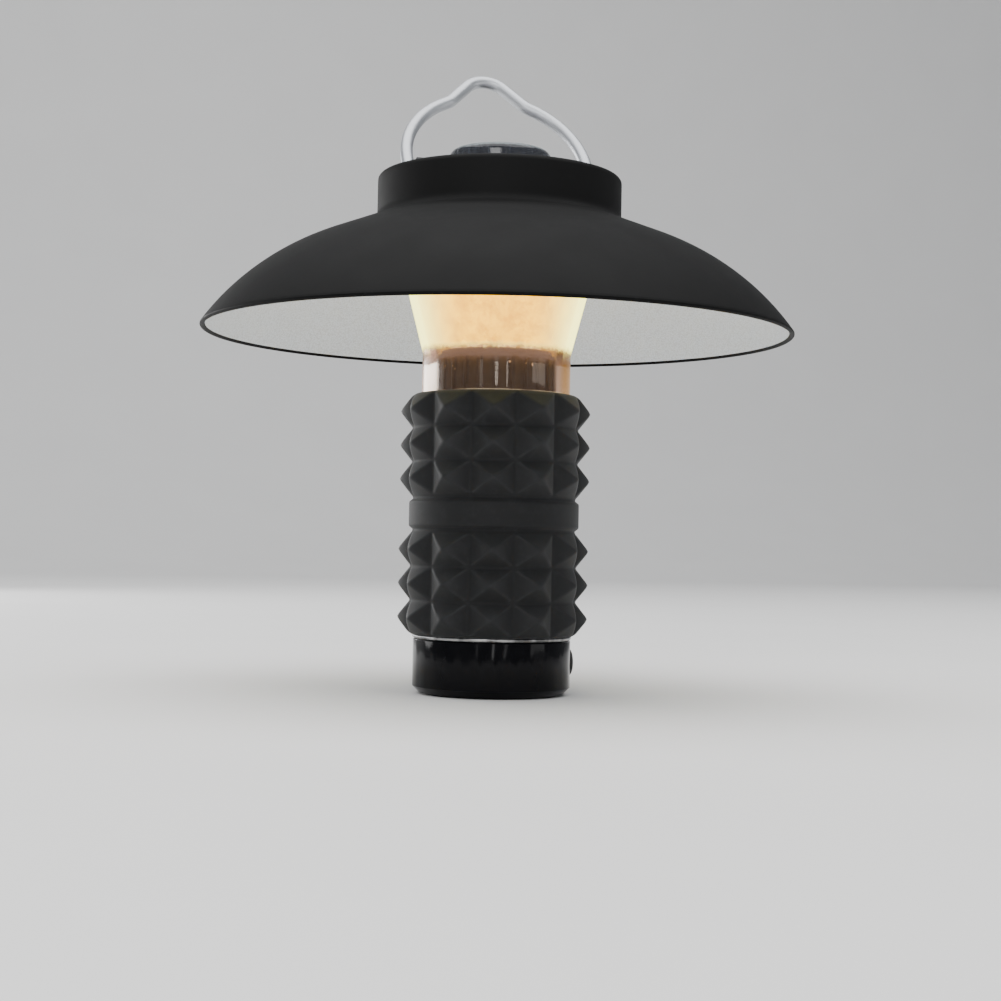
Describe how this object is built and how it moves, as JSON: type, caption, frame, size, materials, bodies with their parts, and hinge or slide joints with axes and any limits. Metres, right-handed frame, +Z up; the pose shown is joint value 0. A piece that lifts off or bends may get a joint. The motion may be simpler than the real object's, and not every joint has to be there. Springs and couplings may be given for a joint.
{
  "type": "camping lantern",
  "caption": "Small camping lantern with a studded rubber grip, a flared light lens, a torch in its cap, a folding wire bail and a hat-shaped shade.",
  "frame": {"origin": "on the surface the lantern stands on, under its centre", "axes": "+Z up the lantern; the bail swings about a line along X; the charging port faces +Y and the power button +X"},
  "size_m": [0.1112, 0.1112, 0.1205],
  "materials": {
    "foot_rubber": "matt black rubber",
    "base_black": "gloss black moulded plastic",
    "screw_steel": "bright steel",
    "trim_metal": "bright turned aluminium",
    "board_green": "green board laminate",
    "chip_black": "black moulded package",
    "port_metal": "satin nickel-plated steel",
    "cover_rubber": "matt black rubber",
    "light_pipe": "frosted clear plastic",
    "button_plastic": "satin black plastic",
    "plunger_plastic": "ivory plastic",
    "barrel_metal": "black anodised aluminium",
    "grip_rubber": "matt black silicone",
    "tube_plastic": "dark brown-black plastic",
    "cell_wrap": "shrink wrap",
    "contact_metal": "plated contact metal",
    "insulator_card": "insulating card",
    "lead_sleeve": "red lead insulation",
    "heat_sink": "brown anodised aluminium",
    "light_board": "white solder mask",
    "amber_board": "amber-brown solder mask",
    "chip_amber": "amber phosphor",
    "lens_clear": "clear below, frosted above, lit warm white",
    "seal_rubber": "black seal rubber",
    "cone_white": "white reflector plastic",
    "cap_black": "satin black plastic",
    "torch_clear": "clear optical plastic",
    "bezel_metal": "polished",
    "mirror_dish": "vacuum-metallised",
    "bail_wire": "satin stainless wire",
    "shade_paint": "matt black powder coat outside, white speckled coat inside"
  },
  "bodies": {
    "lantern": {"foot_pad": "foot_rubber", "base_cap": "base_black", "base_screws": "screw_steel", "trim_ring": "trim_metal", "control_board": "board_green", "board_chips": "chip_black", "usb_port": "port_metal", "usb_tongue": "chip_black", "charge_light": "light_pipe", "tact_switch": "chip_black", "barrel": "barrel_metal", "grip_sleeve": "grip_rubber", "battery_tube": "tube_plastic", "battery_cell": "cell_wrap", "battery_contact": "contact_metal", "contact_spring": "contact_metal", "positive_contact": "contact_metal", "contact_insulator": "insulator_card", "board_leads": "lead_sleeve", "led_carrier": "heat_sink", "led_board": "amber_board", "led_chips": "chip_amber", "lens": "lens_clear", "lens_seal": "seal_rubber", "reflector_cone": "cone_white", "torch_leads": "lead_sleeve", "cap_gasket": "seal_rubber", "top_cap": "cap_black", "torch_board": "light_board", "torch_led": "chip_amber", "torch_screws": "screw_steel", "torch_reflector": "mirror_dish", "torch_lens": "torch_clear", "torch_bezel": "bezel_metal"},
    "shade": {"shade": "shade_paint"},
    "bail": {"bail": "bail_wire"},
    "button": {"power_button": "button_plastic"},
    "plunger": {"switch_plunger": "plunger_plastic"},
    "port_cover": {"usb_cover": "cover_rubber"}
  },
  "joints": [
    {"name": "shade_turn", "type": "hinge", "parent": "lantern", "child": "shade", "pos_m": [0, 0, 0.0964], "axis": [0, 0, 1], "continuous": true},
    {"name": "bail_swing", "type": "hinge", "parent": "lantern", "child": "bail", "pos_m": [0, 0, 0.09785], "axis": [1, 0, 0], "range_deg": [-48, 116]},
    {"name": "power_button_press", "type": "slide", "parent": "lantern", "child": "button", "axis": [-1, 0, 0], "range_m": [0, 0.0006], "stiffness_N_per_m": 2000},
    {"name": "switch_plunger_press", "type": "slide", "parent": "lantern", "child": "plunger", "axis": [-1, 0, 0], "range_m": [0, 0.0006]},
    {"name": "port_cover_swing", "type": "hinge", "parent": "lantern", "child": "port_cover", "pos_m": [-0.0064, 0.01312, 0.006], "axis": [0, 0, 1], "range_deg": [0, 110]}
  ],
  "couplings": [
    {"joint": "switch_plunger_press", "follows": "power_button_press", "ratio": 1}
  ]
}
